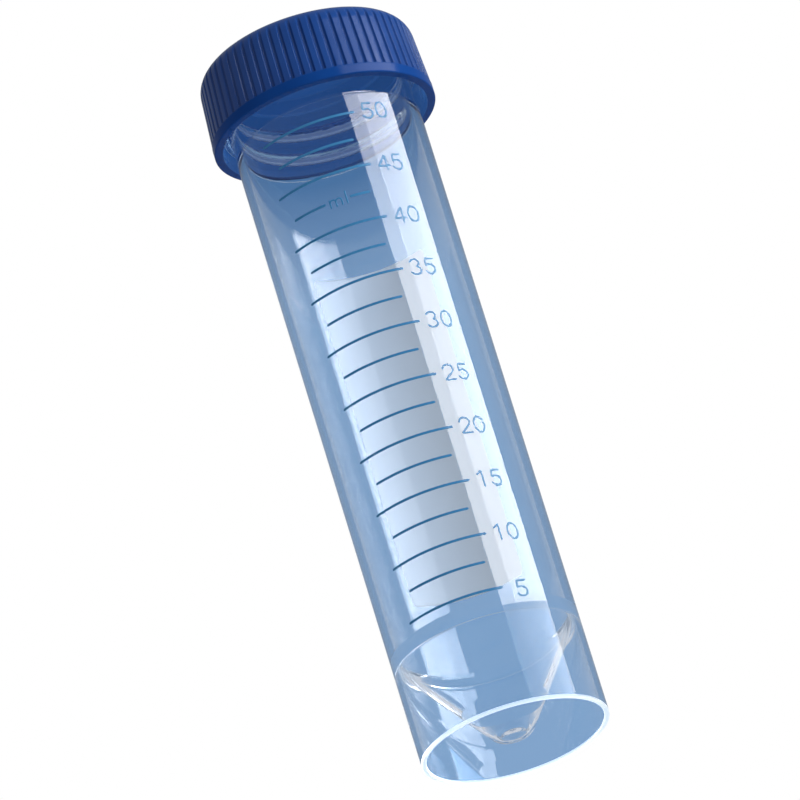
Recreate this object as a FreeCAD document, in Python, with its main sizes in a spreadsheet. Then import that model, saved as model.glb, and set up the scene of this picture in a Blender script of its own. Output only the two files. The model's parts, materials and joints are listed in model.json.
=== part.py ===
import FreeCAD, Part
import Sketcher
import os

from FreeCAD import Vector

# A self-standing 50 ml conical tube with its screw cap, in millimetres and degrees.
# +Z is up, Z = 0 is the surface that the skirt stands on, and the tube's axis is the Z axis.
# The graduated side of the tube faces -Y. Both pieces are single mouldings: a half-section
# turned about the axis, then the thread, the ribs and the rounded edges.

doc = FreeCAD.newDocument("conical_tube")

# Two places nearer than this are the same place.
SAME_PLACE = 1e-4

# The numbers that a sketch gives its own two axes.
LEVEL_AXIS = -1
UPRIGHT_AXIS = -2

# ---------------------------------------------------------------------------
# Sizes
# ---------------------------------------------------------------------------

DRIVING = {
    # the tube
    "tube_radius": 14.50,
    "tube_wall": 1.17,
    "mouth_height": 115.50,
    "cone_half_angle": 35.70,
    "cone_wall": 0.95,
    "cone_root_rounding": 1.00,
    "tip_clearance": 0.50,
    "tip_flat_radius": 2.70,
    "tip_rounding": 2.20,
    "inner_tip_rounding": 1.00,
    "skirt_wall": 0.80,
    "skirt_root_rounding": 0.35,
    "skirt_rim_rounding": 0.30,
    # its neck and outer thread
    "neck_length": 13.15,
    "shoulder_step": 0.20,
    "lip_rounding": 0.35,
    "thread_pitch": 4.10,
    "thread_depth": 1.20,
    "thread_root_width": 2.00,
    "thread_crest_width": 0.90,
    "thread_start": 3.45,
    "lip_land": 2.20,
    "thread_embed": 0.30,
    # the screw cap
    "cap_wall": 1.47,
    "cap_top_thickness": 1.40,
    "cap_top_rounding": 3.00,
    "cap_ceiling_rounding": 1.80,
    "cap_taper": 0.70,
    "lead_in_width": 0.25,
    "lead_in_height": 0.80,
    "collar_height": 1.60,
    "collar_step": 0.05,
    "collar_rounding": 0.25,
    "rib_count": 66,
    "groove_depth": 0.35,
    "groove_width": 0.50,
    "cap_thread_depth": 0.28,
    "cap_thread_root_width": 1.50,
    "cap_thread_crest_width": 0.80,
    "plug_wall": 0.90,
    "plug_length": 2.60,
    "plug_rounding": 0.30,
    # clearances between the two
    "seat_gap": 0.20,
    "rim_gap": 1.85,
    "thread_clearance": 0.12,
    "plug_clearance": 0.15,
}

DERIVED = {
    # the tube's half-section
    "bore_radius": "tube_radius - tube_wall",
    "neck_radius": "tube_radius - shoulder_step",
    "shoulder_height": "mouth_height - neck_length",
    "skirt_bore": "tube_radius - skirt_wall",
    "cone_rise": "1 / tan(cone_half_angle)",
    "cone_wall_across": "cone_wall / cos(cone_half_angle)",
    "cone_root_height": "tip_clearance + (skirt_bore - tip_flat_radius) * cone_rise",
    "bore_floor_height": "tip_clearance + (bore_radius + cone_wall_across - tip_flat_radius)"
                         " * cone_rise",
    "inner_tip_height": "tip_clearance + cone_wall",
    "inner_tip_radius": "tip_flat_radius - cone_wall_across + cone_wall / cone_rise",
    # the tube's thread, measured where it starts
    "thread_middle": "shoulder_height + thread_start",
    "thread_root_low": "thread_middle - thread_root_width / 2",
    "thread_root_high": "thread_middle + thread_root_width / 2",
    "thread_crest_low": "thread_middle - thread_crest_width / 2",
    "thread_crest_high": "thread_middle + thread_crest_width / 2",
    "thread_buried": "neck_radius - thread_embed",
    "thread_crest": "neck_radius + thread_depth",
    "thread_turns": "(neck_length - thread_start - thread_root_width / 2 - lip_land)"
                    " / thread_pitch",
    # the cap's half-section
    "cap_bore": "thread_crest + thread_clearance + cap_thread_depth",
    "cap_rim_height": "shoulder_height + rim_gap",
    "cap_ceiling_height": "mouth_height + seat_gap",
    "cap_top_height": "cap_ceiling_height + cap_top_thickness",
    "lead_in_radius": "cap_bore + lead_in_width",
    "lead_in_top": "cap_rim_height + lead_in_height",
    "rib_base_radius": "cap_bore + cap_wall",
    "rib_top_radius": "rib_base_radius - cap_taper",
    "collar_radius": "rib_base_radius + collar_step",
    "collar_top": "cap_rim_height + collar_height",
    "ledge_top": "collar_top + collar_step",
    "plug_radius": "bore_radius - plug_clearance",
    "plug_bore": "plug_radius - plug_wall",
    "plug_end": "cap_ceiling_height - plug_length",
    # one groove between two ribs
    "groove_base_radius": "rib_base_radius - groove_depth",
    "groove_top_radius": "rib_top_radius - groove_depth",
    "groove_outside": "collar_radius + groove_depth",
    # the cap's thread, half a pitch above the tube's, which ends at the same height
    "cap_thread_middle": "thread_middle + thread_pitch / 2",
    "cap_thread_root_low": "cap_thread_middle - cap_thread_root_width / 2",
    "cap_thread_root_high": "cap_thread_middle + cap_thread_root_width / 2",
    "cap_thread_crest_low": "cap_thread_middle - cap_thread_crest_width / 2",
    "cap_thread_crest_high": "cap_thread_middle + cap_thread_crest_width / 2",
    "cap_thread_buried": "cap_bore + thread_embed",
    "cap_thread_crest": "cap_bore - cap_thread_depth",
    "cap_thread_turns": "thread_turns - 1 / 2",
}

sheet = doc.addObject("Spreadsheet::Sheet", "sizes")
for row, (alias, value) in enumerate({**DRIVING, **DERIVED}.items(), start=1):
    sheet.set(f"A{row}", alias)
    sheet.set(f"B{row}", f"={value}" if alias in DERIVED else str(value))
    sheet.setAlias(f"B{row}", alias)
doc.recompute()


def size(alias):
    """The number in the sheet's cell of that name, or 0 for None."""
    return float(sheet.get(alias)) if alias else 0.0


def tie(item, target, alias):
    """Bind a property or a constraint to the sheet's cell of that name."""
    item.setExpression(target, f"<<sizes>>.{alias}")


# ---------------------------------------------------------------------------
# Building blocks
# ---------------------------------------------------------------------------

def new_body(label):
    """An empty body whose label names its file."""
    body = doc.addObject("PartDesign::Body", label)
    body.Label = label
    return body


def origin_item(body, role):
    """The body's own origin plane or axis of that role."""
    return next(item for item in body.Origin.OriginFeatures if item.Role == role)


def profile(body, name, plane, corners):
    """A closed outline on an upright origin plane, from (radius, height) corners.

    Each coordinate is an alias of the sheet, or None where the corner lies on the axis.
    """
    sketch = body.newObject("Sketcher::SketchObject", name)
    sketch.AttachmentSupport = [(origin_item(body, plane), "")]
    sketch.MapMode = "FlatFace"
    points = [Vector(size(radius), size(height), 0) for radius, height in corners]
    for start, end in zip(points, points[1:] + points[:1]):
        sketch.addGeometry(Part.LineSegment(start, end))
    for index, (radius, height) in enumerate(corners):
        before = (index - 1) % len(corners)
        sketch.addConstraint(Sketcher.Constraint("Coincident", before, 2, index, 1))
        pin(sketch, index, "DistanceX", radius, UPRIGHT_AXIS)
        pin(sketch, index, "DistanceY", height, LEVEL_AXIS)
    return sketch


def pin(sketch, index, distance, alias, axis):
    """Hold one coordinate of a corner at a cell's value, or on that axis of the sketch."""
    if alias is None:
        sketch.addConstraint(Sketcher.Constraint("PointOnObject", index, 1, axis))
        return
    number = sketch.addConstraint(Sketcher.Constraint(distance, -1, 1, index, 1, size(alias)))
    tie(sketch, f"Constraints[{number}]", alias)


def turned(body, name, corners):
    """A half-section turned all the way round the body's Z axis."""
    feature = body.newObject("PartDesign::Revolution", name)
    feature.Profile = profile(body, f"{name}_section", "XZ_Plane", corners)
    feature.ReferenceAxis = (origin_item(body, "Z_Axis"), [""])
    feature.Angle = 360
    doc.recompute()


def rounded(body, name, alias, circles):
    """Fillet the circular edges found at (radius, height) places given as aliases."""
    base = body.Tip
    places = [(size(radius), size(height)) for radius, height in circles]
    names = []
    for number, edge in enumerate(base.Shape.Edges, start=1):
        if not isinstance(edge.Curve, Part.Circle):
            continue
        radius, height = edge.Curve.Radius, edge.Curve.Center.z
        if any(max(abs(radius - r), abs(height - z)) < SAME_PLACE for r, z in places):
            names.append(f"Edge{number}")
    assert len(names) == len(circles), f"{name}: found {len(names)} of {len(circles)} edges"
    fillet = body.newObject("PartDesign::Fillet", name)
    fillet.Base = (base, names)
    tie(fillet, "Radius", alias)
    doc.recompute()


def thread(body, name, turns, corners):
    """A right-handed ridge that starts on the +Y side and winds up the body's Z axis."""
    ridge = body.newObject("PartDesign::AdditiveHelix", name)
    ridge.Profile = profile(body, f"{name}_section", "YZ_Plane", corners)
    ridge.ReferenceAxis = (origin_item(body, "Z_Axis"), [""])
    ridge.Mode = "pitch-turns-angle"
    tie(ridge, "Pitch", "thread_pitch")
    tie(ridge, "Turns", turns)
    doc.recompute()


# ---------------------------------------------------------------------------
# The tube: body, cone, support skirt, neck and outer thread
# ---------------------------------------------------------------------------

tube = new_body("tube")
turned(tube, "tube_wall_and_cone", [
    ("tube_radius", None),
    ("tube_radius", "shoulder_height"),
    ("neck_radius", "shoulder_height"),
    ("neck_radius", "mouth_height"),
    ("bore_radius", "mouth_height"),
    ("bore_radius", "bore_floor_height"),
    ("inner_tip_radius", "inner_tip_height"),
    (None, "inner_tip_height"),
    (None, "tip_clearance"),
    ("tip_flat_radius", "tip_clearance"),
    ("skirt_bore", "cone_root_height"),
    ("skirt_bore", None),
])
rounded(tube, "tip_outside", "tip_rounding", [("tip_flat_radius", "tip_clearance")])
rounded(tube, "tip_inside", "inner_tip_rounding", [("inner_tip_radius", "inner_tip_height")])
rounded(tube, "cone_root", "cone_root_rounding", [("bore_radius", "bore_floor_height")])
rounded(tube, "skirt_root", "skirt_root_rounding", [("skirt_bore", "cone_root_height")])
rounded(tube, "skirt_rim", "skirt_rim_rounding", [("tube_radius", None), ("skirt_bore", None)])
rounded(tube, "lip", "lip_rounding",
        [("neck_radius", "mouth_height"), ("bore_radius", "mouth_height")])
thread(tube, "outer_thread", "thread_turns", [
    ("thread_buried", "thread_root_low"),
    ("neck_radius", "thread_root_low"),
    ("thread_crest", "thread_crest_low"),
    ("thread_crest", "thread_crest_high"),
    ("neck_radius", "thread_root_high"),
    ("thread_buried", "thread_root_high"),
])

# ---------------------------------------------------------------------------
# The screw cap: top, ribbed wall, collar, inner thread and plug seal
# ---------------------------------------------------------------------------

cap = new_body("screw_cap")
turned(cap, "cap_shell", [
    ("collar_radius", "cap_rim_height"),
    ("collar_radius", "collar_top"),
    ("rib_base_radius", "ledge_top"),
    ("rib_top_radius", "cap_top_height"),
    (None, "cap_top_height"),
    (None, "cap_ceiling_height"),
    ("plug_bore", "cap_ceiling_height"),
    ("plug_bore", "plug_end"),
    ("plug_radius", "plug_end"),
    ("plug_radius", "cap_ceiling_height"),
    ("cap_bore", "cap_ceiling_height"),
    ("cap_bore", "lead_in_top"),
    ("lead_in_radius", "cap_rim_height"),
])
rounded(cap, "top_edge", "cap_top_rounding", [("rib_top_radius", "cap_top_height")])
rounded(cap, "ceiling_edge", "cap_ceiling_rounding", [("cap_bore", "cap_ceiling_height")])
rounded(cap, "collar_edge", "collar_rounding", [("collar_radius", "cap_rim_height")])
rounded(cap, "plug_edges", "plug_rounding", [("plug_bore", "plug_end"), ("plug_radius", "plug_end")])

groove = cap.newObject("PartDesign::Pocket", "groove")
groove.Profile = profile(cap, "groove_section", "XZ_Plane", [
    ("groove_base_radius", "ledge_top"),
    ("groove_outside", "ledge_top"),
    ("groove_outside", "cap_top_height"),
    ("groove_top_radius", "cap_top_height"),
])
groove.SideType = "Symmetric"
tie(groove, "Length", "groove_width")
doc.recompute()

ribs = cap.newObject("PartDesign::PolarPattern", "ribs")
ribs.Originals = [groove]
ribs.Axis = (origin_item(cap, "Z_Axis"), [""])
ribs.Angle = 360
tie(ribs, "Occurrences", "rib_count")
cap.Tip = ribs
doc.recompute()

thread(cap, "inner_thread", "cap_thread_turns", [
    ("cap_thread_buried", "cap_thread_root_low"),
    ("cap_bore", "cap_thread_root_low"),
    ("cap_thread_crest", "cap_thread_crest_low"),
    ("cap_thread_crest", "cap_thread_crest_high"),
    ("cap_bore", "cap_thread_root_high"),
    ("cap_thread_buried", "cap_thread_root_high"),
])

# ---------------------------------------------------------------------------
# Checks and files
# ---------------------------------------------------------------------------

doc.recompute()
for item in doc.Objects:
    assert "Invalid" not in item.State and "Error" not in item.State, f"{item.Label} failed"

os.makedirs("parts", exist_ok=True)
for body in (tube, cap):
    shape = body.Shape
    assert not shape.isNull() and shape.isValid(), f"{body.Label} is not a valid solid"
    assert len(shape.Solids) == 1, f"{body.Label} is not one solid"
    print(body.Label, "volume", round(shape.Volume, 1), "box", shape.BoundBox)
    shape.exportStep(f"parts/{body.Label}.step")
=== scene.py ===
# %% [markdown]
# # A self-standing 50 ml conical tube
#
# This notebook dresses a finished CAD model. The CAD says how large every part is and how the
# cap moves, and Blender adds what a drawing leaves out: clear plastic that bends light, ribs with
# soft edges, and ink. The first lines import the frame. They also read the CAD's own box of each
# part, which gives the heights and the widest radii.

# %% Load the frame
import json
import math

import bpy
import numpy as np
from mathutils import Matrix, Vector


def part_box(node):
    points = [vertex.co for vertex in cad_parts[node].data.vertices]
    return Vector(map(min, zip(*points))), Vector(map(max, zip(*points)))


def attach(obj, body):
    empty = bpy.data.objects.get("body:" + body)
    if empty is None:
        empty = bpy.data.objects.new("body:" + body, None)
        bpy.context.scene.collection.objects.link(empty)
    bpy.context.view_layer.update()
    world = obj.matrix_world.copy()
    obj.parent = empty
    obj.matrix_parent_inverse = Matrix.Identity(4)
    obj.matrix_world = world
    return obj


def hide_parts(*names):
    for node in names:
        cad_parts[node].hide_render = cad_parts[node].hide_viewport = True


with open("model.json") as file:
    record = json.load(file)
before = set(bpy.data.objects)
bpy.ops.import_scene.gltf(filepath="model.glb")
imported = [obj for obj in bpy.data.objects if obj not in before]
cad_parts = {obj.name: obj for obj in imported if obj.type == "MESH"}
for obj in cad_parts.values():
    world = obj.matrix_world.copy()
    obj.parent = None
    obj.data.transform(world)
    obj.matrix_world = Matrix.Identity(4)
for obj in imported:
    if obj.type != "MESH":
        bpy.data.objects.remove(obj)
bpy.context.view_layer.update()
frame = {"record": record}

tube_low, tube_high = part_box("tube")
cap_low, cap_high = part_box("screw_cap")

# %% [markdown]
# The real sizes are in millimetres, and Blender works in metres. The heights and the widest
# radii come from the frame. The wall thicknesses are the mould's own numbers, because no box of
# a part can tell them.

# %% Sizes shared by several pieces
MM = 0.001

mounts = {mount["name"]: mount for mount in frame["record"]["mounts"]}
TUBE_RADIUS = mounts["tube_body"]["dims"]["r_mm"] * MM
MOUTH = tube_high.z
FOOT = tube_low.z
CAP_RIM = cap_low.z
CAP_TOP = cap_high.z
COLLAR_RADIUS = cap_high.x

SHOULDER_STEP = 0.20 * MM
TUBE_WALL = 1.17 * MM
NECK_LENGTH = 13.15 * MM
COLLAR_WALL = 1.52 * MM
SEAT_GAP = 0.20 * MM
THREAD_PITCH = 4.10 * MM

NECK_RADIUS = TUBE_RADIUS - SHOULDER_STEP
BORE_RADIUS = TUBE_RADIUS - TUBE_WALL
SHOULDER = MOUTH - NECK_LENGTH
CAP_BORE = COLLAR_RADIUS - COLLAR_WALL
CEILING = MOUTH + SEAT_GAP
print("tube radius", round(TUBE_RADIUS / MM, 2), "mm, mouth at", round(MOUTH / MM, 2), "mm")

# %% [markdown]
# ## Outlines
#
# Both mouldings are turned shapes: one outline, carried round the axis. A mould has no sharp
# corners, so an outline is written as a few corners, each with the radius it is rounded to. The
# other way is a Bevel modifier, which needs clean loops and gives every edge one width.

# %% A rounded outline
HOLD = 0.12 * MM


def rounded_outline(corners, steps=6, longest=6 * MM):
    """Points of an outline through (radius, height, rounding) corners.

    A corner becomes an arc that touches both of its sides: it begins at rounding / tan(half the
    angle between the sides) from the corner, about a centre at rounding / sin(half that angle)
    along their bisector. A straight side gets a point just inside each end, so that the smooth
    shading of an arc doesn't creep along the wall, and even points between.
    """
    corners = np.array(corners, float)
    place, rounding = corners[:, :2], corners[:, 2]
    pieces = [place[:1]]
    for before, corner, after, radius in zip(place, place[1:], place[2:], rounding[1:]):
        back = (before - corner) / np.linalg.norm(before - corner)
        on = (after - corner) / np.linalg.norm(after - corner)
        half = math.acos(np.clip(back @ on, -1, 1)) / 2
        centre = corner + (back + on) / np.linalg.norm(back + on) * radius / math.sin(half)
        ends = np.array([corner + back * radius / math.tan(half),
                         corner + on * radius / math.tan(half)]) - centre
        first, last = np.arctan2(ends[:, 1], ends[:, 0])
        sweep = (last - first + math.pi) % (2 * math.pi) - math.pi
        angle = first + sweep * np.linspace(0, 1, steps + 1)
        pieces.append(centre + radius * np.column_stack([np.cos(angle), np.sin(angle)]))
    pieces.append(place[-1:])
    points = [pieces[0]]
    for start, end in zip(pieces, pieces[1:]):
        a, b = start[-1], end[0]
        length = np.linalg.norm(b - a)
        inner = np.linspace(HOLD, length - HOLD, 2 + int(length / longest)) if length > 4 * HOLD else []
        along = np.array(inner)[:, None] / length
        points += [a + along * (b - a), end]
    return np.vstack([p.reshape(-1, 2) for p in points])


# %% [markdown]
# A turned mesh is a grid: rows along the outline, columns round the axis. At the two ends the
# outline meets the axis, and there a fan of triangles closes it on one point. The grid is made
# as whole arrays, so a thread or a rib is only a small change to the array of radii.

# %% Grids to meshes
def grid_faces(first, rows, columns):
    """Quads of a grid whose columns run right round, facing out of a wall that is climbed."""
    row = first + columns * np.arange(rows - 1)[:, None]
    here, following = np.arange(columns), np.roll(np.arange(columns), -1)
    quads = [row + here, row + following, row + columns + following, row + columns + here]
    return np.stack(quads, axis=-1).reshape(-1, 4)


def fan_faces(tip, ring, outward):
    """Triangles from one point to each side of a ring, turned the other way if not outward."""
    sides = np.column_stack([np.full(len(ring), tip), ring, np.roll(ring, -1)])
    return sides if outward else sides[:, ::-1]


def make_mesh(name, vertices, *face_sets):
    """A smooth object at the origin, from an array of points and arrays of faces."""
    mesh = bpy.data.meshes.new(name)
    faces = [face for face_set in face_sets for face in face_set.tolist()]
    mesh.from_pydata(vertices.tolist(), [], faces)
    mesh.polygons.foreach_set("use_smooth", np.ones(len(faces), bool))
    mesh.update()
    piece = bpy.data.objects.new(name, mesh)
    bpy.context.scene.collection.objects.link(piece)
    return piece


def around(radius, height, angle):
    """Points at these radii and heights, at angles counted from +X towards +Y."""
    height = np.broadcast_to(height, radius.shape)
    return np.stack([radius * np.cos(angle), radius * np.sin(angle), height], axis=-1).reshape(-1, 3)


def volume_of(piece):
    """The volume inside a closed mesh: a sixth of the sum of corner . (corner x corner)."""
    mesh = piece.data
    mesh.calc_loop_triangles()
    places = np.empty(3 * len(mesh.vertices), np.float32)
    corners = np.empty(3 * len(mesh.loop_triangles), np.int32)
    mesh.vertices.foreach_get("co", places)
    mesh.loop_triangles.foreach_get("vertices", corners)
    a, b, c = places.reshape(-1, 3).astype(float)[corners].reshape(-1, 3, 3).transpose(1, 0, 2)
    return float(np.einsum("ij,ij->i", a, np.cross(b, c)).sum() / 6)


# %% [markdown]
# ## The thread
#
# The neck carries one right-handed ridge, nearly two turns long. Its height above the neck depends
# only on how far a point is from the middle of the nearest turn, so it can be written as a function
# of angle and height. A real thread runs out at both ends, where the cutter left the mould.

# %% A ridge that winds up the axis
def smooth_step(x):
    """0 below 0, 1 above 1, and 3x^2 - 2x^3 between."""
    x = np.clip(x, 0, 1)
    return x * x * (3 - 2 * x)


def ridge(height, angle, start, turns, root, crest, run_in=0.0, run_out=math.radians(25)):
    """How far a ridge stands out, from 0 to 1, at these heights and angles.

    The ridge passes its start height on the +Y side and climbs one pitch a turn. It is as wide as
    root at its foot and as crest at its top. It begins an angle of run-in before that side, and it
    fades over the run-out at each end.
    """
    start, turns = start - THREAD_PITCH * run_in / (2 * math.pi), turns + run_in / (2 * math.pi)
    turned = (angle - math.pi / 2 + run_in) % (2 * math.pi)
    share = np.zeros(np.broadcast(height, angle).shape)
    for turn in range(math.ceil(turns)):
        total = turned + 2 * math.pi * turn
        middle = start + THREAD_PITCH * total / (2 * math.pi)
        flank = (root / 2 - np.abs(height - middle)) / ((root - crest) / 2)
        left = 2 * math.pi * turns - total
        ends = smooth_step(total / run_out) * smooth_step(left / run_out)
        share = np.maximum(share, smooth_step(flank) * ends)
    return share


# %% [markdown]
# ## The tube
#
# The tube is one injection moulding. Going along its outline from the outer tip: up the outside
# of the cone, down inside the support skirt, round its rim, up the outer wall, over the shoulder
# and the threaded neck, over the lip, and down the bore into the cone's tip. The visual piece
# follows the CAD's outline, adds the run-outs of the thread, and starts the thread a fifth of a turn
# earlier. One point is added on the outer wall at the skirt's root, because the finish changes there.

# %% The tube's outline
CONE_WALL = 0.95 * MM
CONE_SLOPE = math.tan(math.radians(35.70))
CONE_ACROSS = CONE_WALL * math.hypot(1, CONE_SLOPE)
SKIRT_WALL = 0.80 * MM
SKIRT_BORE = TUBE_RADIUS - SKIRT_WALL
TIP_RADIUS = 2.70 * MM
TIP_CLEARANCE = 0.50 * MM
TIP = FOOT + TIP_CLEARANCE
INNER_TIP = TIP + CONE_WALL
INNER_TIP_RADIUS = TIP_RADIUS - CONE_ACROSS + CONE_WALL * CONE_SLOPE
SKIRT_ROOT = TIP + (SKIRT_BORE - TIP_RADIUS) / CONE_SLOPE
BORE_FLOOR = INNER_TIP + (BORE_RADIUS - INNER_TIP_RADIUS) / CONE_SLOPE

tube_outline = rounded_outline([
    (0, TIP, 0),
    (TIP_RADIUS, TIP, 2.20 * MM),
    (SKIRT_BORE, SKIRT_ROOT, 0.35 * MM),
    (SKIRT_BORE, FOOT, 0.30 * MM),
    (TUBE_RADIUS, FOOT, 0.30 * MM),
    (TUBE_RADIUS, SHOULDER, 0.08 * MM),
    (NECK_RADIUS, SHOULDER, 0.08 * MM),
    (NECK_RADIUS, MOUTH, 0.35 * MM),
    (BORE_RADIUS, MOUTH, 0.35 * MM),
    (BORE_RADIUS, BORE_FLOOR, 1.00 * MM),
    (INNER_TIP_RADIUS, INNER_TIP, 1.00 * MM),
    (0, INNER_TIP, 0),
])
junction = np.flatnonzero((tube_outline[:, 0] > TUBE_RADIUS - 1e-7)
                          & (tube_outline[:, 1] > SKIRT_ROOT))[0]
tube_outline = np.insert(tube_outline, junction, [TUBE_RADIUS, SKIRT_ROOT], axis=0)
print(len(tube_outline), "points on the tube's outline")

# %% The clear tube
TUBE_COLUMNS = 320
THREAD_STEP = 0.13 * MM
THREAD_DEPTH = 1.20 * MM
THREAD_ROOT = 2.30 * MM
THREAD_CREST = 0.20 * MM
THREAD_START = SHOULDER + 3.45 * MM
THREAD_END = MOUTH - 3.20 * MM
THREAD_TURNS = (THREAD_END - THREAD_START) / THREAD_PITCH
RUN_IN = math.radians(75)


def threaded_rows(outline, low, high, step):
    """The outline with its one long climb between two heights cut into rows a step high."""
    climb = np.arange(low, high, step)
    in_band = (outline[:, 1] > low - 1e-6) & (outline[:, 1] < high)
    inside = (outline[:, 0] > BORE_RADIUS + 0.5 * MM) & in_band
    index = np.flatnonzero(inside)
    rows = np.column_stack([np.full(len(climb), NECK_RADIUS), climb])
    return np.vstack([outline[:index[0]], rows, outline[index[-1] + 1:]])


tube_rows = threaded_rows(tube_outline, SHOULDER + 0.3 * MM, MOUTH - 0.5 * MM, THREAD_STEP)
tube_angle = np.linspace(0, 2 * math.pi, TUBE_COLUMNS, endpoint=False)[None, :]
tube_radius, tube_height = tube_rows[1:-1, :1], tube_rows[1:-1, 1:]
on_neck = (tube_radius > NECK_RADIUS - 1e-7) & (tube_height > SHOULDER + 0.2 * MM)
tube_grid = tube_radius + on_neck * THREAD_DEPTH * ridge(
    tube_height, tube_angle, THREAD_START, THREAD_TURNS, THREAD_ROOT, THREAD_CREST, RUN_IN)

rows = len(tube_grid)
clear_tube = make_mesh(
    "clear_tube",
    np.vstack([[0, 0, TIP], around(tube_grid, tube_height, tube_angle), [0, 0, INNER_TIP]]),
    fan_faces(0, 1 + np.arange(TUBE_COLUMNS), outward=False),
    grid_faces(1, rows, TUBE_COLUMNS),
    fan_faces(1 + rows * TUBE_COLUMNS, 1 + (rows - 1) * TUBE_COLUMNS + np.arange(TUBE_COLUMNS),
              outward=True),
)
print("tube:", rows, "rows,", round(volume_of(clear_tube) * 1e6, 2), "cm3 of plastic")

# %% [markdown]
# ## The screw cap
#
# The cap is turned too, with 66 grooves pressed into its side. A groove takes 0.35 mm off the
# radius, and its sides slope over a fifth of a millimetre, which is where a real cap catches the
# light. The columns crowd at those slopes, so twelve to each rib are enough. Inside there are no
# ribs, so a third as many columns do, and six-sided faces on the flat rim join the two.

# %% The cap's outline
RIBS = 66
CAP_TAPER = 0.70 * MM
LEDGE = CAP_RIM + 1.65 * MM
COLLAR_TOP = CAP_RIM + 1.60 * MM
RIB_FOOT_RADIUS = COLLAR_RADIUS - 0.05 * MM
RIB_TOP_RADIUS = RIB_FOOT_RADIUS - CAP_TAPER
PLUG_RADIUS = BORE_RADIUS - 0.15 * MM
PLUG_BORE = PLUG_RADIUS - 0.90 * MM
PLUG_END = CEILING - 2.60 * MM
LEAD_IN = CAP_BORE + 0.25 * MM
CAP_THREAD_DEPTH = 0.28 * MM
CAP_THREAD_ROOT = 1.50 * MM
CAP_THREAD_CREST = 0.80 * MM

cap_inside = rounded_outline([
    (0, CEILING, 0),
    (PLUG_BORE, CEILING, 0.25 * MM),
    (PLUG_BORE, PLUG_END, 0.30 * MM),
    (PLUG_RADIUS, PLUG_END, 0.30 * MM),
    (PLUG_RADIUS, CEILING, 0.25 * MM),
    (CAP_BORE, CEILING, 1.80 * MM),
    (CAP_BORE, CAP_RIM + 0.80 * MM, 0.10 * MM),
    (LEAD_IN, CAP_RIM, 0),
])
cap_outside = rounded_outline([
    (LEAD_IN + 0.10 * MM, CAP_RIM, 0),
    (COLLAR_RADIUS, CAP_RIM, 0.25 * MM),
    (COLLAR_RADIUS, COLLAR_TOP, 0.06 * MM),
    (RIB_FOOT_RADIUS, LEDGE, 0.06 * MM),
    (RIB_TOP_RADIUS, CAP_TOP, 3.00 * MM),
    (0, CAP_TOP, 0),
], steps=10)
print(len(cap_inside), "points inside the cap,", len(cap_outside), "outside")

# %% Ribs and the inner thread
GROOVE_DEPTH = 0.35 * MM
GROOVE_HALF = 0.25 * MM
GROOVE_EDGE = 0.11 * MM
RIB_COLUMNS = np.array([-0.74, -0.46, -0.37, -0.31, -0.25, -0.16, 0, 0.16, 0.25, 0.31, 0.37, 0.46]) * MM


def groove(across):
    """How deep a groove is, from 0 to 1, at a distance from its middle along the cap's side."""
    return smooth_step((GROOVE_HALF + GROOVE_EDGE - np.abs(across)) / (2 * GROOVE_EDGE))


rib_pitch = 2 * math.pi / RIBS
groove_middle = rib_pitch * np.arange(RIBS)[:, None]
cap_angle = (groove_middle + RIB_COLUMNS / RIB_FOOT_RADIUS).reshape(1, -1)
cap_groove = np.tile(groove(RIB_COLUMNS), RIBS)[None, :]

ledge_rows = LEDGE + np.array([0.02, 0.08, 0.16, 0.26, 0.40]) * MM
side = np.column_stack([np.interp(ledge_rows, [LEDGE, CAP_TOP], [RIB_FOOT_RADIUS, RIB_TOP_RADIUS]),
                        ledge_rows])
first_above = int(np.flatnonzero(cap_outside[:, 1] > ledge_rows[-1])[0])
last_below = int(np.flatnonzero(cap_outside[:, 1] < ledge_rows[0])[-1])
cap_rows = np.vstack([cap_outside[:last_below + 1], side, cap_outside[first_above:]])

outer_radius, outer_height = cap_rows[:-1, :1], cap_rows[:-1, 1:]
side_line = RIB_FOOT_RADIUS - CAP_TAPER * (outer_height - LEDGE) / (CAP_TOP - LEDGE)
room = np.clip(outer_radius - side_line + GROOVE_DEPTH, 0, GROOVE_DEPTH)
foot = smooth_step((outer_height - LEDGE) / (0.30 * MM))
outer_grid = outer_radius - room * foot * cap_groove

inner_columns = len(cap_angle[0]) // 3
inner_rows = cap_inside[1:]
bore_rows = np.arange(CAP_RIM + 1.2 * MM, CEILING - 2.2 * MM, 0.16 * MM)[::-1]
in_bore = np.flatnonzero((inner_rows[:, 0] > CAP_BORE - 1e-7)
                         & (inner_rows[:, 1] > bore_rows[-1] - 1e-6)
                         & (inner_rows[:, 1] < bore_rows[0] + 1e-6))
bore = np.column_stack([np.full(len(bore_rows), CAP_BORE), bore_rows])
inner_rows = np.vstack([inner_rows[:in_bore[0]], bore, inner_rows[in_bore[-1] + 1:]])
inner_angle = cap_angle[:, ::3]
inner_radius, inner_height = inner_rows[:, :1], inner_rows[:, 1:]
on_bore = (np.abs(inner_radius - CAP_BORE) < 1e-7) & (inner_height < CEILING - 2 * MM)
inner_grid = inner_radius - on_bore * CAP_THREAD_DEPTH * ridge(
    inner_height, inner_angle, THREAD_START + THREAD_PITCH / 2, THREAD_TURNS - 0.5,
    CAP_THREAD_ROOT, CAP_THREAD_CREST)
print(len(inner_grid), "rows inside,", len(outer_grid), "outside,", outer_grid.shape[1], "columns")

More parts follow.
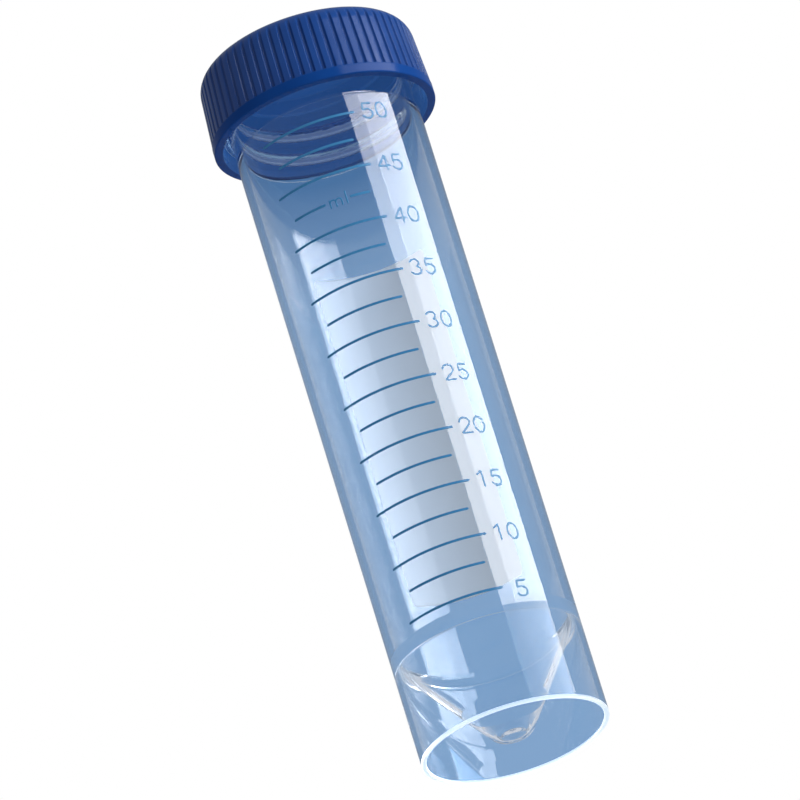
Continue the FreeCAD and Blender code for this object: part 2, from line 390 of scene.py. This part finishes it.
# %% The blue cap
outer_columns = outer_grid.shape[1]
inner_count, outer_count = inner_grid.size, outer_grid.size
inner_last = 1 + inner_count - inner_columns + np.arange(inner_columns)
outer_first = 1 + inner_count + np.arange(outer_columns).reshape(inner_columns, 3)
outer_next = np.roll(outer_first[:, 0], -1)
rim = np.column_stack([inner_last, np.roll(inner_last, -1), outer_next,
                       outer_first[:, 2], outer_first[:, 1], outer_first[:, 0]])
blue_cap = make_mesh(
    "blue_cap",
    np.vstack([[0, 0, CEILING], around(inner_grid, inner_height, inner_angle),
               around(outer_grid, outer_height, cap_angle), [0, 0, CAP_TOP]]),
    fan_faces(0, 1 + np.arange(inner_columns), outward=False),
    grid_faces(1, len(inner_grid), inner_columns),
    rim,
    grid_faces(1 + inner_count, len(outer_grid), outer_columns),
    fan_faces(1 + inner_count + outer_count,
              1 + inner_count + outer_count - outer_columns + np.arange(outer_columns), outward=True),
)
print("cap:", round(volume_of(blue_cap) * 1e6, 2), "cm3 of plastic")

# %% [markdown]
# ## Ink
#
# The graduation is printed on the outside. Real ink has a thickness, so every line is a thin solid
# whose section is a flat oval, swept along a path and drawn in to a point at both ends. The path is
# drawn flat, as distances round the tube and heights, and then wrapped on to the wall. The ink sits
# a hundredth of a millimetre into the plastic, as wet ink bonds, so no air shows between them.

# %% Strokes of ink
INK_BITE = 0.010 * MM
INK_PROUD = 0.030 * MM
LINE_WIDTH = 0.42 * MM
DIGIT_WIDTH = 0.31 * MM
PATH_STEP = 0.22 * MM
ROUND_END = np.array([1.0, 0.85, 0.5])[:, None]
SECTION = 10


def wrapped(across, height, radius, middle):
    """Flat places put on the tube: distance round it becomes an angle, counted from the middle."""
    angle = middle + across / TUBE_RADIUS
    return np.stack([radius * np.sin(angle), -radius * np.cos(angle), height], axis=-1)


def even_path(points, spacing):
    """A path through points, cut into steps of equal length."""
    points = np.array(points, float)
    along = np.concatenate([[0], np.cumsum(np.linalg.norm(np.diff(points, axis=0), axis=1))])
    steps = np.linspace(0, along[-1], max(3, int(along[-1] / spacing) + 1))
    return np.column_stack([np.interp(steps, along, points[:, axis]) for axis in (0, 1)])


def stroke(path, width, middle=0.0):
    """Rings of points of a stroke along a flat path.

    A ring is an oval: width across the path and the ink's thickness outwards. Its width follows a
    half circle at both ends, the square root of 1 - (1 - distance / half width) squared.
    """
    path = even_path(path, PATH_STEP)
    heading = np.gradient(path, axis=0)
    heading /= np.linalg.norm(heading, axis=1)[:, None]
    tip = heading[[0, -1]] * width / 2 * np.array([[-1], [1]])
    path = np.vstack([path[0] + tip[0] * ROUND_END, path, path[-1] + tip[1] * ROUND_END[::-1]])
    heading = np.vstack([heading[[0] * 3], heading, heading[[-1] * 3]])
    share = np.ones(len(path))
    share[:3] = share[:-4:-1] = np.sqrt(1 - np.clip(ROUND_END[:, 0], 0, 0.99) ** 2)
    side = np.column_stack([-heading[:, 1], heading[:, 0]])
    turn = 2 * math.pi * np.arange(SECTION) / SECTION
    across = share[:, None] * np.cos(turn) * width / 2
    out = np.sign(np.sin(turn)) * np.abs(np.sin(turn)) ** 0.5
    middle_radius = TUBE_RADIUS + (INK_PROUD - INK_BITE) / 2
    radius = middle_radius + np.broadcast_to(out, across.shape) * (INK_PROUD + INK_BITE) / 2
    flat = path[:, None, :] + across[:, :, None] * side[:, None, :]
    return wrapped(flat[..., 0], flat[..., 1], radius, middle)


def ink_piece(name, strokes):
    """One mesh of many strokes, each closed at both ends by a fan."""
    vertices, faces, count = [], [], 0
    for rings in strokes:
        length = len(rings)
        ring = np.arange(SECTION)
        vertices.append(np.vstack([rings[:1].mean(1), rings.reshape(-1, 3), rings[-1:].mean(1)]))
        faces += [fan_faces(count, count + 1 + ring, outward=False),
                  grid_faces(count + 1, length, SECTION),
                  fan_faces(count + 1 + length * SECTION,
                            count + 1 + (length - 1) * SECTION + ring, outward=True)]
        count += 2 + length * SECTION
    piece = make_mesh(name, np.vstack(vertices), *faces)
    if volume_of(piece) < 0:
        piece.data.flip_normals()
    print(name, len(strokes), "strokes,", len(piece.data.polygons), "faces")
    return piece


# %% [markdown]
# Five millilitres of a 26.7 mm bore are 9.0 mm high. Every whole five has a long line and a number,
# and the halves between have short lines. The unit stands in the gap of one half line.

# %% The graduation lines
FIVE_ML = FOOT + 18.62 * MM
ML = 1.791 * MM
LONG_LINE = (-42.2, 18.9)
SHORT_LINE = (-35.2, 13.2)
BROKEN_LINE = [(-35.2, -14.3), (2.6, 13.6)]
BROKEN_AT = 42.5
NUMBER_LEFT = math.radians(23.7)


def level(ml):
    """The height of the liquid's surface at a volume."""
    return FIVE_ML + (ml - 5) * ML


def level_line(ml, reach):
    """A stroke round the tube at a volume, between two angles in degrees from the front."""
    ends = TUBE_RADIUS * np.radians(reach)
    return stroke(np.column_stack([ends, [level(ml)] * 2]), LINE_WIDTH)


long_lines = [level_line(ml, LONG_LINE) for ml in range(5, 55, 5)]
short_lines = [level_line(ml + 2.5, SHORT_LINE) for ml in range(5, 50, 5) if ml + 2.5 != BROKEN_AT]
broken_line = [level_line(BROKEN_AT, reach) for reach in BROKEN_LINE]
graduation_lines = ink_piece("graduation_lines", long_lines + short_lines + broken_line)

# %% [markdown]
# The numbers are drawn with single strokes, as a plain sans serif, from straight runs and parts of
# ovals. A Text object would bring a font's own outline, and its long flat triangles would cut
# through the round wall.

# %% Single-stroke numbers
DIGIT_HEIGHT = 2.79 * MM
DIGIT_STEP = 0.86
DIGIT_STRETCH = 1.16
LONE_DIGIT_IN = math.radians(3.6)
LONE_DIGIT_DROP = 0.5 * MM


def arc(centre, reach, start, end, samples=20):
    """Part of an oval, between two angles in degrees counted from the right."""
    angle = np.radians(np.linspace(start, end, samples))
    return np.array(centre) + np.array(reach) * np.column_stack([np.cos(angle), np.sin(angle)])


DIGITS = {
    "0": [arc((0.31, 0.50), (0.27, 0.46), 90, 450, 40)],
    "1": [[(0.14, 0.76), (0.36, 0.95), (0.36, 0.04)]],
    "2": [np.vstack([arc((0.31, 0.68), (0.25, 0.27), 170, -38), [(0.06, 0.04), (0.58, 0.04)]])],
    "3": [np.vstack([arc((0.29, 0.73), (0.23, 0.22), 155, -80),
                     arc((0.29, 0.28), (0.26, 0.24), 82, -155)])],
    "4": [[(0.46, 0.04), (0.46, 0.95), (0.05, 0.29), (0.62, 0.29)]],
    "5": [np.vstack([[(0.54, 0.95), (0.15, 0.95), (0.10, 0.55)],
                     arc((0.30, 0.33), (0.26, 0.29), 128, -155)])],
}


def number(text, left, low, height):
    """The strokes of a number whose left edge is at an angle and whose foot is at a height."""
    placed = []
    for place, character in enumerate(text):
        for shape in DIGITS[character]:
            flat = np.array(shape, float) * height * [DIGIT_STRETCH, 1]
            flat = flat + [place * DIGIT_STEP * height, low]
            placed.append(stroke(flat, DIGIT_WIDTH, middle=left))
    return placed


digits = number("5", NUMBER_LEFT + LONE_DIGIT_IN, level(5) - DIGIT_HEIGHT / 2 - LONE_DIGIT_DROP,
                DIGIT_HEIGHT)
for ml in range(10, 55, 5):
    digits += number(str(ml), NUMBER_LEFT, level(ml) - DIGIT_HEIGHT / 2, DIGIT_HEIGHT)
graduation_numbers = ink_piece("graduation_numbers", digits)

# %% The unit
UNIT_LEFT = math.radians(-10.8)
UNIT_HEIGHT = 2.0 * MM
UNIT_STRETCH = 1.5
UNIT_WIDTH = 0.8 * DIGIT_WIDTH
unit_shapes = [
    [(0.00, 0.62), (0.00, 0.02)],
    np.vstack([[(0.00, 0.40)], arc((0.16, 0.42), (0.15, 0.19), 150, 0), [(0.31, 0.02)]]),
    np.vstack([[(0.31, 0.40)], arc((0.47, 0.42), (0.15, 0.19), 150, 0), [(0.62, 0.02)]]),
    [(0.88, 0.98), (0.88, 0.02)],
]
unit_size = np.array([UNIT_STRETCH, 1.0]) * UNIT_HEIGHT
unit_foot = level(BROKEN_AT) - 0.45 * UNIT_HEIGHT
unit_strokes = [stroke(np.array(shape, float) * unit_size + [0, unit_foot], UNIT_WIDTH, middle=UNIT_LEFT)
                for shape in unit_shapes]
unit_mark = ink_piece("unit_mark", unit_strokes)

# %% [markdown]
# The writing panel is on the back. It is one coat of white ink, a thin plate bent round the tube with
# rounded corners: at each angle its half height is the full one less a quarter circle's rise.

# %% The writing panel
PANEL_LOW = FOOT + 29.4 * MM
PANEL_HIGH = FOOT + 85.1 * MM
PANEL_HALF_ANGLE = math.radians(39.6)
PANEL_CORNER = 0.8 * MM
PANEL_COLUMNS = 90
PANEL_ROWS = 24

half_width = PANEL_HALF_ANGLE * TUBE_RADIUS
even = np.linspace(-1, 1, PANEL_COLUMNS)
panel_across = half_width * np.sin(even * math.pi / 2)
into_corner = np.clip(np.abs(panel_across) - (half_width - PANEL_CORNER), 0, PANEL_CORNER)
half_height = (PANEL_HIGH - PANEL_LOW) / 2 - PANEL_CORNER + np.sqrt(PANEL_CORNER ** 2 - into_corner ** 2)
up = np.sin(np.linspace(-1, 1, PANEL_ROWS) * math.pi / 2)
loop_up = np.concatenate([up, up[::-1]])
loop_radius = np.repeat([TUBE_RADIUS + INK_PROUD, TUBE_RADIUS - INK_BITE], PANEL_ROWS)
panel_height = (PANEL_LOW + PANEL_HIGH) / 2 + half_height[:, None] * loop_up
panel_points = wrapped(np.broadcast_to(panel_across[:, None], panel_height.shape), panel_height,
                       np.broadcast_to(loop_radius, panel_height.shape), math.pi)
loop = len(loop_up)
ring = np.arange(loop)
panel_count = PANEL_COLUMNS * loop
writing_panel = make_mesh(
    "writing_panel",
    np.vstack([panel_points[0].mean(0), panel_points.reshape(-1, 3), panel_points[-1].mean(0)]),
    fan_faces(0, 1 + ring, outward=False),
    grid_faces(1, PANEL_COLUMNS, loop),
    fan_faces(1 + panel_count, 1 + panel_count - loop + ring, outward=True),
)
if volume_of(writing_panel) < 0:
    writing_panel.data.flip_normals()
print("panel", round(2 * half_width / MM, 1), "x", round((PANEL_HIGH - PANEL_LOW) / MM, 1), "mm")

# %% [markdown]
# ## Plastic and ink
#
# Moulded plastic is never quite even: the melt leaves faint clouds of colour and gloss, and the
# steel leaves a fine texture. Both plastics and both inks use this, so it is one node group. It
# puts out a colour, a roughness and a height for a Bump node.

# %% The moulded-surface group
def node(tree, kind, **settings):
    """A new node, with its settings given by name."""
    made = tree.nodes.new(kind)
    for key, value in settings.items():
        setattr(made, key, value)
    return made


def make_group(name, inputs, outputs):
    """An empty shader group with named sockets: (name, kind, default) in, (name, kind) out."""
    group = bpy.data.node_groups.new(name, "ShaderNodeTree")
    for label, kind, value in inputs:
        socket = group.interface.new_socket(label, in_out="INPUT", socket_type=kind)
        if value is not None:
            socket.default_value = value
    for label, kind in outputs:
        group.interface.new_socket(label, in_out="OUTPUT", socket_type=kind)
    return group, group.nodes.new("NodeGroupInput"), group.nodes.new("NodeGroupOutput")


NUMBER, COLOUR = "NodeSocketFloat", "NodeSocketColor"
moulded, given, result = make_group(
    "moulded surface",
    [("Colour", COLOUR, (0.5, 0.5, 0.5, 1)), ("Cloud Colour", COLOUR, (0.5, 0.5, 0.5, 1)),
     ("Cloud Size", NUMBER, 120.0), ("Roughness", NUMBER, 0.2), ("Roughness Change", NUMBER, 0.05),
     ("Grain Size", NUMBER, 3000.0)],
    [("Color", COLOUR), ("Roughness", NUMBER), ("Height", NUMBER)],
)
where = node(moulded, "ShaderNodeTexCoord")
clouds = node(moulded, "ShaderNodeTexNoise")
clouds.inputs["Detail"].default_value = 3
grain = node(moulded, "ShaderNodeTexNoise")
grain.inputs["Detail"].default_value = 2
tone = node(moulded, "ShaderNodeMix", data_type="RGBA")
gloss = node(moulded, "ShaderNodeMath", operation="MULTIPLY_ADD")
centred = node(moulded, "ShaderNodeMath", operation="SUBTRACT")
centred.inputs[1].default_value = 0.5
spread = node(moulded, "ShaderNodeMapRange")
spread.inputs["From Min"].default_value = 0.35
spread.inputs["From Max"].default_value = 0.65
link = moulded.links.new
link(where.outputs["Object"], clouds.inputs["Vector"])
link(where.outputs["Object"], grain.inputs["Vector"])
link(given.outputs["Cloud Size"], clouds.inputs["Scale"])
link(given.outputs["Grain Size"], grain.inputs["Scale"])
link(clouds.outputs["Fac"], spread.inputs["Value"])
link(spread.outputs["Result"], tone.inputs["Factor"])
link(given.outputs["Colour"], tone.inputs["A"])
link(given.outputs["Cloud Colour"], tone.inputs["B"])
link(clouds.outputs["Fac"], centred.inputs[0])
link(centred.outputs["Value"], gloss.inputs[0])
link(given.outputs["Roughness Change"], gloss.inputs[1])
link(given.outputs["Roughness"], gloss.inputs[2])
link(tone.outputs["Result"], result.inputs["Color"])
link(gloss.outputs["Value"], result.inputs["Roughness"])
link(grain.outputs["Fac"], result.inputs["Height"])


# %% Materials from the group
def set_inputs(shader, **values):
    """Set a shader's own sockets, named with underscores for spaces."""
    for key, value in values.items():
        shader.inputs[key.replace("_", " ")].default_value = value


def moulded_material(name, values, bump, **shader_values):
    """A material whose Principled shader takes colour, roughness and bump from the group."""
    material = bpy.data.materials.new(name)
    material.use_nodes = True
    tree = material.node_tree
    shader = tree.nodes["Principled BSDF"]
    surface = node(tree, "ShaderNodeGroup", node_tree=moulded)
    set_inputs(surface, **values)
    bumps = node(tree, "ShaderNodeBump")
    bumps.inputs["Strength"].default_value = 1.0
    bumps.inputs["Distance"].default_value = bump
    tree.links.new(surface.outputs["Color"], shader.inputs["Base Color"])
    tree.links.new(surface.outputs["Roughness"], shader.inputs["Roughness"])
    tree.links.new(surface.outputs["Height"], bumps.inputs["Height"])
    tree.links.new(bumps.outputs["Normal"], shader.inputs["Normal"])
    set_inputs(shader, **shader_values)
    return material, tree, shader, surface


# %% [markdown]
# Clear plastic is a Principled shader that transmits all its light. Rays to the lamps go straight
# through, or everything inside would be black, because a lamp can't be found through glass that
# bends light. The blue of the plastic is put on light that leaves through the outer face, which is
# the back of that face as the ray meets it: light from the far side is tinted once, however many
# walls it crosses, and the front wall stays clear over the white panel. Light that is caught
# between the walls is tinted by only half as much. Towards the cap the blue deepens into painted
# shade, a darker colour standing in for the shade of the cap on the wall below it. Light that a matt
# surface has already scattered goes straight through, so the tube throws no bright rings on the floor.

# %% Clear plastic
CLEAR = (0.97, 0.985, 0.995, 1)
SEEN_THROUGH = (0.045, 0.135, 0.36, 1)
# Painted shade: the darker blue that the wall turns just below the cap.
CAP_PAINTED_SHADE = (0.0046, 0.031, 0.138, 1)
SHADE_LOW = CAP_RIM - 27 * MM
SHADE_HIGH = CAP_RIM - 3 * MM
SCATTERED_LIGHT = (0.99, 0.99, 0.99, 1)
LAMP_LIGHT = (0.75, 0.82, 0.90, 1)


def math_node(tree, operation, first, second):
    """A Math node whose inputs are sockets or numbers, and its result."""
    made = node(tree, "ShaderNodeMath", operation=operation)
    for socket, value in zip(made.inputs, (first, second)):
        if isinstance(value, (int, float)):
            socket.default_value = value
        else:
            tree.links.new(value, socket)
    return made.outputs["Value"]


def tint_on_leaving(tree, path, colour, shader, least_crossed):
    """Mix the plastic's colour with its blue where a ray meets the back of the face, and darken that
    blue towards the cap as painted shade.
    """
    face = node(tree, "ShaderNodeNewGeometry")
    mirrored = math_node(tree, "GREATER_THAN", path.outputs["Glossy Depth"], 0.5)
    crossed = math_node(tree, "GREATER_THAN", path.outputs["Transmission Depth"], least_crossed)
    caught = math_node(tree, "MULTIPLY", math_node(tree, "MULTIPLY", mirrored, crossed), 0.5)
    share = math_node(tree, "MULTIPLY", math_node(tree, "SUBTRACT", 1.0, caught),
                      face.outputs["Backfacing"])
    # Painted shade: the blue turns darker with height, from SHADE_LOW up to SHADE_HIGH below the cap.
    where = node(tree, "ShaderNodeTexCoord")
    split = node(tree, "ShaderNodeSeparateXYZ")
    rise = node(tree, "ShaderNodeMapRange")
    rise.inputs["From Min"].default_value = SHADE_LOW
    rise.inputs["From Max"].default_value = SHADE_HIGH
    blue = node(tree, "ShaderNodeMix", data_type="RGBA")
    blue.inputs["A"].default_value = SEEN_THROUGH
    blue.inputs["B"].default_value = CAP_PAINTED_SHADE
    tint = node(tree, "ShaderNodeMix", data_type="RGBA")
    tree.links.new(where.outputs["Object"], split.inputs["Vector"])
    tree.links.new(split.outputs["Z"], rise.inputs["Value"])
    tree.links.new(rise.outputs["Result"], blue.inputs["Factor"])
    tree.links.new(share, tint.inputs["Factor"])
    tree.links.new(colour, tint.inputs["A"])
    tree.links.new(blue.outputs["Result"], tint.inputs["B"])
    tree.links.new(tint.outputs["Result"], shader.inputs["Base Color"])


def clear_material(name, leaves_blue, roughness=0.03, colour=CLEAR, least_crossed=2.5, **shader_values):
    """Clear plastic that lets lamp light through and, on an outer face, turns what leaves it blue."""
    material, tree, shader, surface = moulded_material(
        name,
        {"Colour": colour, "Cloud_Colour": tuple(0.985 * c for c in colour[:3]) + (1,),
         "Cloud_Size": 90.0, "Roughness": roughness, "Roughness_Change": 0.01, "Grain_Size": 900.0},
        bump=0.000002, Transmission_Weight=1.0, **{"IOR": 1.49, **shader_values})
    path = node(tree, "ShaderNodeLightPath")
    if leaves_blue:
        tint_on_leaving(tree, path, surface.outputs["Color"], shader, least_crossed)
    passed = node(tree, "ShaderNodeMix", data_type="RGBA")
    passed.inputs["A"].default_value = SCATTERED_LIGHT
    passed.inputs["B"].default_value = LAMP_LIGHT
    tree.links.new(path.outputs["Is Shadow Ray"], passed.inputs["Factor"])
    unbent = node(tree, "ShaderNodeBsdfTransparent")
    tree.links.new(passed.outputs["Result"], unbent.inputs["Color"])
    choice = node(tree, "ShaderNodeMixShader")
    straight = math_node(tree, "MAXIMUM", path.outputs["Is Shadow Ray"],
                         math_node(tree, "GREATER_THAN", path.outputs["Diffuse Depth"], 0.5))
    tree.links.new(straight, choice.inputs["Fac"])
    tree.links.new(shader.outputs["BSDF"], choice.inputs[1])
    tree.links.new(unbent.outputs["BSDF"], choice.inputs[2])
    tree.links.new(choice.outputs["Shader"], tree.nodes["Material Output"].inputs["Surface"])
    return material


# %% [markdown]
# Each part of the moulding gets the finish that shows it best, and all of them are the same plastic.
# The rim of the skirt carries a painted glow, light painted on for the bright edge of a clear sheet,
# where light that enters the wall is led along it and comes out; the crest of the thread carries a
# fainter painted glow of the same kind. The thread is painted a darker blue too, as painted shade,
# so that it stands out from the inside of the cap. The bore, the neck and the skirt reflect less, or
# the lamps would show four times over. The cone and its tip bend light less than plastic does: this
# stands in for walls that blend smoothly into each other, where this model has corners.

# %% Finishes of the tube
finishes = {
    "outer": clear_material("clear plastic, outer face", True),
    "inner": clear_material("clear plastic, inner face", False,
                            Specular_Tint=(0.25, 0.25, 0.25, 1)),
    "skirt outside": clear_material("clear plastic, skirt outside", True, least_crossed=1.5,
                                    Specular_Tint=(0.15, 0.15, 0.15, 1)),
    "skirt inside": clear_material("clear plastic, skirt inside", False,
                                   Specular_Tint=(0.15, 0.15, 0.15, 1)),
    "cone": clear_material("clear plastic, cone", False, IOR=1.07,
                           Specular_Tint=(0.5, 0.5, 0.5, 1)),
    "neck": clear_material("clear plastic, neck", False, roughness=0.05,
                           Specular_Tint=(0.25, 0.25, 0.25, 1)),
    # Painted shade: the thread's flank is given a darker blue than the clear plastic.
    "flank": clear_material("clear plastic, thread flank, painted shade", False, roughness=0.10,
                            colour=(0.10, 0.25, 0.55, 1)),
    # Painted light: the crest is painted darker and given a faint glow of its own.
    "crest": clear_material("clear plastic, thread crest, painted shade and glow", False, roughness=0.5,
                            colour=(0.05, 0.12, 0.30, 1),
                            Emission_Color=(0.12, 0.18, 0.29, 1), Emission_Strength=0.5),
    "skirt far side": clear_material("clear plastic, skirt far side", False),
    "tip": clear_material("clear plastic, tip", False, IOR=1.18),
    # Painted light: the rim glows, standing in for the bright edge of the wall.
    "rim": clear_material("clear plastic, rim, painted glow", False, roughness=0.5,
                          Emission_Color=(0.80, 0.90, 1.0, 1), Emission_Strength=0.5),
}
for finish in finishes.values():
    clear_tube.data.materials.append(finish)

NEAR = 0.02 * MM
RIM_BAND = 0.35 * MM
TIP_BAND = 2.0 * MM
CONE_BAND = 0.5 * MM
NECK_BAND = 1.3 * MM

corner_of = np.empty(len(clear_tube.data.loops), np.int32)
clear_tube.data.loops.foreach_get("vertex_index", corner_of)
place = np.empty(3 * len(clear_tube.data.vertices), np.float32)
clear_tube.data.vertices.foreach_get("co", place)
place = place.reshape(-1, 3)
starts = np.empty(len(clear_tube.data.polygons), np.int32)
clear_tube.data.polygons.foreach_get("loop_start", starts)
corner = place[corner_of[starts]]
reach, height = np.hypot(corner[:, 0], corner[:, 1]), corner[:, 2]
outside = reach > NECK_RADIUS - NEAR
in_skirt = (reach > SKIRT_BORE - NEAR) & (height < SKIRT_ROOT)
on_neck_side = outside & (height > CAP_RIM - NECK_BAND)
# Painted shade on the thread's flanks and crest; the crest also carries a painted glow.
thread_painted_shade = (reach > NECK_RADIUS + 0.05 * MM) & (height > SHOULDER + 0.5 * MM)
crest_painted_shade_and_glow = thread_painted_shade & (reach > NECK_RADIUS + 0.8 * THREAD_DEPTH)
names = list(finishes)
rules = [
    ("rim", height < FOOT + RIM_BAND),
    ("skirt outside", outside & in_skirt),
    ("skirt inside", in_skirt & (corner[:, 1] < 0)),
    ("skirt far side", in_skirt),
    ("crest", crest_painted_shade_and_glow),
    ("flank", thread_painted_shade),
    ("neck", on_neck_side),
    ("outer", outside),
    ("tip", height < TIP + TIP_BAND),
    ("cone", height < BORE_FLOOR + CONE_BAND),
]
which = np.select([faces for _, faces in rules], [names.index(name) for name, _ in rules],
                  names.index("inner"))
clear_tube.data.polygons.foreach_set("material_index", which.astype(np.int32))
print(dict(zip(names, np.bincount(which).tolist())), "faces")

# %% [markdown]
# The cap is coloured right through and has a slightly soft gloss. Its collar and its flat top are
# duller, and its inside carries painted light, a faint glow standing in for light that comes through
# the wall. The ink is a matt film that still shines a little.

# %% Blue plastic and inks
BLUE = {"Colour": (0.0050, 0.052, 0.244, 1), "Cloud_Colour": (0.0068, 0.059, 0.267, 1),
        "Cloud_Size": 160.0, "Roughness": 0.17, "Roughness_Change": 0.10, "Grain_Size": 5000.0}
blue_plastic = moulded_material("blue plastic", BLUE, bump=0.000004, IOR=1.5,
                                Specular_IOR_Level=0.50)[0]
duller = moulded_material("blue plastic, collar", BLUE, bump=0.000004, IOR=1.5,
                          Specular_IOR_Level=0.06)[0]
matt_top = moulded_material("blue plastic, top", {**BLUE, "Roughness": 0.55}, bump=0.000012, IOR=1.5,
                            Specular_IOR_Level=0.15)[0]
# Painted light: the inside of the cap glows faintly, standing in for light that comes through the wall.
inside_painted_glow = moulded_material("blue plastic, inside, painted glow", BLUE, bump=0.000004, IOR=1.5,
                               Specular_IOR_Level=0.28,
                               Emission_Color=(0.014, 0.046, 0.125, 1), Emission_Strength=1.0)[0]
blue_ink = moulded_material(
    "blue ink",
    {"Colour": (0.045, 0.225, 0.46, 1), "Cloud_Colour": (0.058, 0.25, 0.50, 1), "Cloud_Size": 900.0,
     "Roughness": 0.20, "Roughness_Change": 0.08, "Grain_Size": 9000.0},
    bump=0.000002, IOR=1.45, Specular_IOR_Level=0.38)[0]
white_ink = moulded_material(
    "white ink",
    {"Colour": (0.84, 0.89, 0.94, 1), "Cloud_Colour": (0.86, 0.91, 0.96, 1), "Cloud_Size": 500.0,
     "Roughness": 0.45, "Roughness_Change": 0.10, "Grain_Size": 7000.0},
    bump=0.000003, IOR=1.45)[0]
for finish in (blue_plastic, inside_painted_glow, duller, matt_top):
    blue_cap.data.materials.append(finish)
face_number = np.arange(len(blue_cap.data.polygons))
inside = face_number < inner_columns * len(inner_grid)
outer_face = face_number - inner_columns * (len(inner_grid) + 1)
collar_rows = int((outer_height < LEDGE).sum())
ribbed_rows = int((outer_height < CAP_TOP - 1e-6).sum())
on_collar = outer_face < outer_columns * collar_rows
on_top = outer_face >= outer_columns * ribbed_rows
cap_finish = np.select([inside, on_collar, on_top], [1, 2, 3], 0)
blue_cap.data.polygons.foreach_set("material_index", cap_finish.astype(np.int32))
for piece in (graduation_lines, graduation_numbers, unit_mark):
    piece.data.materials.append(blue_ink)
writing_panel.data.materials.append(white_ink)

# %% [markdown]
# ## Riding and replacing
#
# Each piece rides on the body it is fixed to, so that the cap's pieces rise with the cap.

# %% Tie the pieces to the frame
for piece in (clear_tube, graduation_lines, graduation_numbers, unit_mark, writing_panel):
    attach(piece, "tube")
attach(blue_cap, "cap")
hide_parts("tube")
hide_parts("screw_cap")

# %% [markdown]
# ## The studio
#
# A pale floor, one large softbox to the right, in two sheets of different strength, and pale
# surroundings that are white to the camera and through the plastic. The camera looks up at the tube
# from below the floor, so the floor's underside lets it through: a face's back is transparent.

# %% Floor and surroundings
FLOOR_HALF = 4.0
floor = make_mesh(
    "floor",
    np.array([[-1, -1, 0], [1, -1, 0], [1, 1, 0], [-1, 1, 0]]) * FLOOR_HALF + [0, 0, FOOT - 0.02 * MM],
    np.array([[0, 1, 2, 3]]))
floor_material = bpy.data.materials.new("pale floor")
floor_material.use_nodes = True
tree = floor_material.node_tree
set_inputs(tree.nodes["Principled BSDF"], Base_Color=(0.84, 0.85, 0.86, 1), Roughness=0.7)
face = node(tree, "ShaderNodeNewGeometry")
gone = node(tree, "ShaderNodeBsdfTransparent")
choice = node(tree, "ShaderNodeMixShader")
tree.links.new(face.outputs["Backfacing"], choice.inputs["Fac"])
tree.links.new(tree.nodes["Principled BSDF"].outputs["BSDF"], choice.inputs[1])
tree.links.new(gone.outputs["BSDF"], choice.inputs[2])
tree.links.new(choice.outputs["Shader"], tree.nodes["Material Output"].inputs["Surface"])
floor.data.materials.append(floor_material)

world = bpy.data.worlds.new("studio")
bpy.context.scene.world = world
world.use_nodes = True
tree = world.node_tree
ambient = tree.nodes["Background"]
ambient.inputs["Color"].default_value = (0.80, 0.88, 1.0, 1)
ambient.inputs["Strength"].default_value = 0.30
white = node(tree, "ShaderNodeBackground")
white.inputs["Color"].default_value = (1, 1, 1, 1)
white.inputs["Strength"].default_value = 1.0
path = node(tree, "ShaderNodeLightPath")
scattered = math_node(tree, "GREATER_THAN", path.outputs["Diffuse Depth"], 0.5)
reflected = math_node(tree, "GREATER_THAN", path.outputs["Glossy Depth"], 0.5)
lost = math_node(tree, "MAXIMUM", scattered, math_node(tree, "MULTIPLY", reflected, 0.15))
through = math_node(tree, "SUBTRACT", path.outputs["Is Transmission Ray"], lost)
seen = math_node(tree, "MAXIMUM", path.outputs["Is Camera Ray"], through)
choice = node(tree, "ShaderNodeMixShader")
tree.links.new(seen, choice.inputs["Fac"])
tree.links.new(ambient.outputs["Background"], choice.inputs[1])
tree.links.new(white.outputs["Background"], choice.inputs[2])
tree.links.new(choice.outputs["Shader"], tree.nodes["World Output"].inputs["Surface"])

# %% Lamps
def softbox(name, azimuth, distance, width, low, high, watts):
    """Put an upright rectangular lamp at an angle in degrees from the front, facing the tube."""
    lamp = bpy.data.lights.new(name, "AREA")
    lamp.shape = "RECTANGLE"
    lamp.size, lamp.size_y = width, high - low
    lamp.energy = watts
    holder = bpy.data.objects.new(name, lamp)
    turn = math.radians(azimuth)
    holder.location = (distance * math.sin(turn), -distance * math.cos(turn), (low + high) / 2)
    holder.rotation_euler = (math.radians(90), 0, turn)
    bpy.context.scene.collection.objects.link(holder)


softbox("softbox", azimuth=71, distance=0.60, width=0.47, low=0.225, high=0.42, watts=3.3)
softbox("softbox edge", azimuth=41, distance=0.60, width=0.19, low=0.225, high=0.42, watts=0.92)

# %% [markdown]
# ## The camera
#
# The camera stands 1.6 metres off, below the tube, and looks up by 23 degrees, so the round edges
# near the cap open wider than those at the foot. It is rolled by 17 degrees.

# %% Camera
LOOK_UP = math.radians(22.83)
ROLL = math.radians(17.25)
DISTANCE = 1.6226
FRAME_WIDTH = 0.12011
AIM = np.array([-1.43 * MM, 0, FOOT + 57.84 * MM])

back = np.array([0, -math.cos(LOOK_UP), -math.sin(LOOK_UP)])
level_up = np.array([0, -math.sin(LOOK_UP), math.cos(LOOK_UP)])
level_right = np.array([1, 0, 0])
up_way = math.cos(ROLL) * level_up + math.sin(ROLL) * level_right
right_way = math.cos(ROLL) * level_right - math.sin(ROLL) * level_up
camera_data = bpy.data.cameras.new("camera")
camera_data.sensor_width = 36
camera_data.lens = 36 * DISTANCE / FRAME_WIDTH
camera_data.clip_end = 100
camera = bpy.data.objects.new("camera", camera_data)
turn = Matrix(np.column_stack([right_way, up_way, back]).tolist()).to_4x4()
camera.matrix_world = Matrix.Translation((AIM + back * DISTANCE).tolist()) @ turn
bpy.context.scene.collection.objects.link(camera)
bpy.context.scene.camera = camera
scene = bpy.context.scene
scene.view_settings.view_transform = "Standard"
scene.cycles.max_bounces = scene.cycles.transmission_bounces = 96
scene.cycles.glossy_bounces = 64
